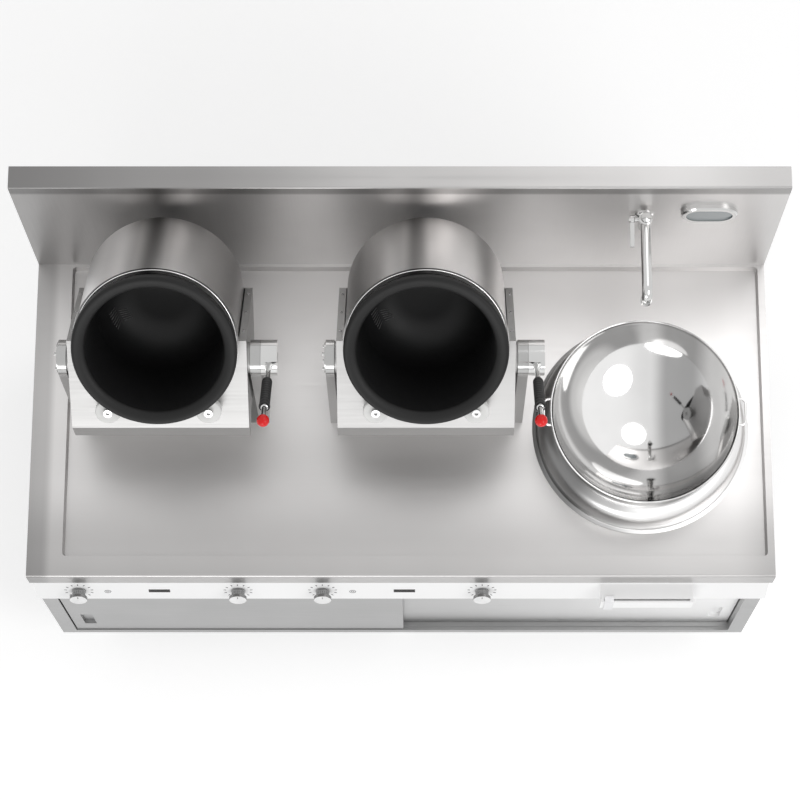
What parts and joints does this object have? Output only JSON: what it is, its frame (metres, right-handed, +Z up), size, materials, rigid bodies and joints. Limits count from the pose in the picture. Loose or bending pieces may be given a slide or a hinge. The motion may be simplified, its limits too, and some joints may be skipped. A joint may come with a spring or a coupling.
{
  "type": "wok range",
  "caption": "Induction wok range with tilting, turning drums and a round-bottomed wok on a steel counter with a drip well, backsplash, faucet and cabinet below.",
  "frame": {"origin": "on the floor, under the middle of the whole object's bounding box", "axes": "+X to the cook's right, +Y to the back (the backsplash), +Z up"},
  "size_m": [1.8, 0.897, 1.4189],
  "materials": {
    "brushed_steel": "brushed",
    "white_panel": "satin",
    "frame_steel": "satin",
    "chrome": "polished",
    "polished_steel": "polished",
    "black_iron": "matt coated",
    "black_plastic": "matt",
    "white_plastic": "satin",
    "red_plastic": "gloss",
    "black_glass": "gloss",
    "dark_window": "gloss",
    "grey_window": "gloss",
    "copper": "wound wire",
    "motor_grey": "painted",
    "aluminium": "satin"
  },
  "bodies": {
    "range": {"counter_top": "brushed_steel", "backsplash": "brushed_steel", "cabinet_frame": "frame_steel", "cabinet_sides": "brushed_steel", "cabinet_back": "brushed_steel", "cabinet_floor": "brushed_steel", "levelling_feet": "chrome", "control_fascia": "white_panel", "rotary_switches": "black_plastic", "display_windows": "dark_window", "power_slide": "brushed_steel", "wok_ring": "polished_steel", "ceramic_bowl": "black_glass", "wok_coil": "copper", "lamp_bezel": "chrome", "lamp_lens": "grey_window", "faucet_body": "chrome", "inverters": "aluminium", "supply_gland": "black_plastic", "drum_1_pedestal": "brushed_steel", "drum_1_bearings": "chrome", "drum_2_pedestal": "brushed_steel", "drum_2_bearings": "chrome"},
    "drum_1_tilting_unit": {"drum_1_tilt_frame": "brushed_steel", "drum_1_casing": "brushed_steel", "drum_1_coil": "copper", "drum_1_gearmotor": "motor_grey", "drum_1_roller_bolts": "polished_steel", "drum_1_tilt_lever": "chrome", "drum_1_lever_grip": "black_plastic"},
    "drum_1_turning_pot": {"drum_1_pot": "black_iron", "drum_1_pot_shaft": "polished_steel"},
    "drum_1_left_roller": {"drum_1_roller_left": "white_plastic"},
    "drum_1_right_roller": {"drum_1_roller_right": "white_plastic"},
    "drum_1_lock": {"drum_1_pull_rod": "chrome", "drum_1_pull_ball": "red_plastic"},
    "drum_2_tilting_unit": {"drum_2_tilt_frame": "brushed_steel", "drum_2_casing": "brushed_steel", "drum_2_coil": "copper", "drum_2_gearmotor": "motor_grey", "drum_2_roller_bolts": "polished_steel", "drum_2_tilt_lever": "chrome", "drum_2_lever_grip": "black_plastic"},
    "drum_2_turning_pot": {"drum_2_pot": "black_iron", "drum_2_pot_shaft": "polished_steel"},
    "drum_2_left_roller": {"drum_2_roller_left": "white_plastic"},
    "drum_2_right_roller": {"drum_2_roller_right": "white_plastic"},
    "drum_2_lock": {"drum_2_pull_rod": "chrome", "drum_2_pull_ball": "red_plastic"},
    "drum_1_heat_knob_body": {"drum_1_heat_knob": "chrome"},
    "drum_1_speed_knob_body": {"drum_1_speed_knob": "chrome"},
    "drum_2_heat_knob_body": {"drum_2_heat_knob": "chrome"},
    "drum_2_speed_knob_body": {"drum_2_speed_knob": "chrome"},
    "power_tab": {"slide_tab": "aluminium"},
    "spout": {"faucet_spout": "chrome"},
    "valve_lever": {"faucet_lever": "chrome"},
    "wok_pan": {"wok": "polished_steel", "wok_ears": "polished_steel"},
    "left_door_panel": {"left_door": "brushed_steel"},
    "right_door_panel": {"right_door": "brushed_steel"}
  },
  "joints": [
    {"name": "drum_1_tilt", "type": "hinge", "parent": "range", "child": "drum_1_tilting_unit", "pos_m": [-0.558, 0.0415, 1.158], "axis": [1, 0, 0], "range_deg": [0, 90]},
    {"name": "drum_1_spin", "type": "hinge", "parent": "drum_1_tilting_unit", "child": "drum_1_turning_pot", "pos_m": [-0.558, 0.09241, 1.20891], "axis": [0, -0.7071, 0.7071], "continuous": true},
    {"name": "drum_1_left_roller_spin", "type": "hinge", "parent": "drum_1_tilting_unit", "child": "drum_1_left_roller", "pos_m": [-0.67409, -0.08095, 1.14161], "axis": [0, -0.7071, 0.7071], "continuous": true},
    {"name": "drum_1_right_roller_spin", "type": "hinge", "parent": "drum_1_tilting_unit", "child": "drum_1_right_roller", "pos_m": [-0.44191, -0.08095, 1.14161], "axis": [0, -0.7071, 0.7071], "continuous": true},
    {"name": "drum_1_lock_pull", "type": "slide", "parent": "drum_1_tilting_unit", "child": "drum_1_lock", "axis": [0, -0.7071, 0.7071], "range_m": [0, 0.012], "stiffness_N_per_m": 800, "springref_m": -0.004},
    {"name": "drum_2_tilt", "type": "hinge", "parent": "range", "child": "drum_2_tilting_unit", "pos_m": [0.06, 0.0415, 1.158], "axis": [1, 0, 0], "range_deg": [0, 90]},
    {"name": "drum_2_spin", "type": "hinge", "parent": "drum_2_tilting_unit", "child": "drum_2_turning_pot", "pos_m": [0.06, 0.09241, 1.20891], "axis": [0, -0.7071, 0.7071], "continuous": true},
    {"name": "drum_2_left_roller_spin", "type": "hinge", "parent": "drum_2_tilting_unit", "child": "drum_2_left_roller", "pos_m": [-0.05609, -0.08095, 1.14161], "axis": [0, -0.7071, 0.7071], "continuous": true},
    {"name": "drum_2_right_roller_spin", "type": "hinge", "parent": "drum_2_tilting_unit", "child": "drum_2_right_roller", "pos_m": [0.17609, -0.08095, 1.14161], "axis": [0, -0.7071, 0.7071], "continuous": true},
    {"name": "drum_2_lock_pull", "type": "slide", "parent": "drum_2_tilting_unit", "child": "drum_2_lock", "axis": [0, -0.7071, 0.7071], "range_m": [0, 0.012], "stiffness_N_per_m": 800, "springref_m": -0.004},
    {"name": "drum_1_heat_knob_turn", "type": "hinge", "parent": "range", "child": "drum_1_heat_knob_body", "pos_m": [-0.785, -0.40847, 0.69012], "axis": [0, -0.9751, 0.2216], "range_deg": [-270, 0]},
    {"name": "drum_1_speed_knob_turn", "type": "hinge", "parent": "range", "child": "drum_1_speed_knob_body", "pos_m": [-0.397, -0.40847, 0.69012], "axis": [0, -0.9751, 0.2216], "range_deg": [-270, 0]},
    {"name": "drum_2_heat_knob_turn", "type": "hinge", "parent": "range", "child": "drum_2_heat_knob_body", "pos_m": [-0.191, -0.40847, 0.69012], "axis": [0, -0.9751, 0.2216], "range_deg": [-270, 0]},
    {"name": "drum_2_speed_knob_turn", "type": "hinge", "parent": "range", "child": "drum_2_speed_knob_body", "pos_m": [0.197, -0.40847, 0.69012], "axis": [0, -0.9751, 0.2216], "range_deg": [-270, 0]},
    {"name": "power_slide_move", "type": "slide", "parent": "range", "child": "power_tab", "axis": [1, 0, 0], "range_m": [0, 0.184]},
    {"name": "faucet_swivel", "type": "hinge", "parent": "range", "child": "spout", "pos_m": [0.574, 0.3695, 1.187], "axis": [0, 0, 1], "range_deg": [-60, 60]},
    {"name": "faucet_lever_turn", "type": "hinge", "parent": "range", "child": "valve_lever", "pos_m": [0.545, 0.3815, 1.159], "axis": [1, 0, 0], "range_deg": [0, 60]},
    {"name": "wok_lift", "type": "slide", "parent": "range", "child": "wok_pan", "axis": [0, 0, 1], "range_m": [0, 0.18]},
    {"name": "left_door_slide", "type": "slide", "parent": "range", "child": "left_door_panel", "axis": [1, 0, 0], "range_m": [0, 0.834]},
    {"name": "right_door_slide", "type": "slide", "parent": "range", "child": "right_door_panel", "axis": [1, 0, 0], "range_m": [-0.826, 0]}
  ],
  "couplings": [
    {"joint": "drum_1_left_roller_spin", "follows": "drum_1_spin", "ratio": -5.9259},
    {"joint": "drum_1_right_roller_spin", "follows": "drum_1_spin", "ratio": -5.9259},
    {"joint": "drum_2_left_roller_spin", "follows": "drum_2_spin", "ratio": -5.9259},
    {"joint": "drum_2_right_roller_spin", "follows": "drum_2_spin", "ratio": -5.9259}
  ]
}
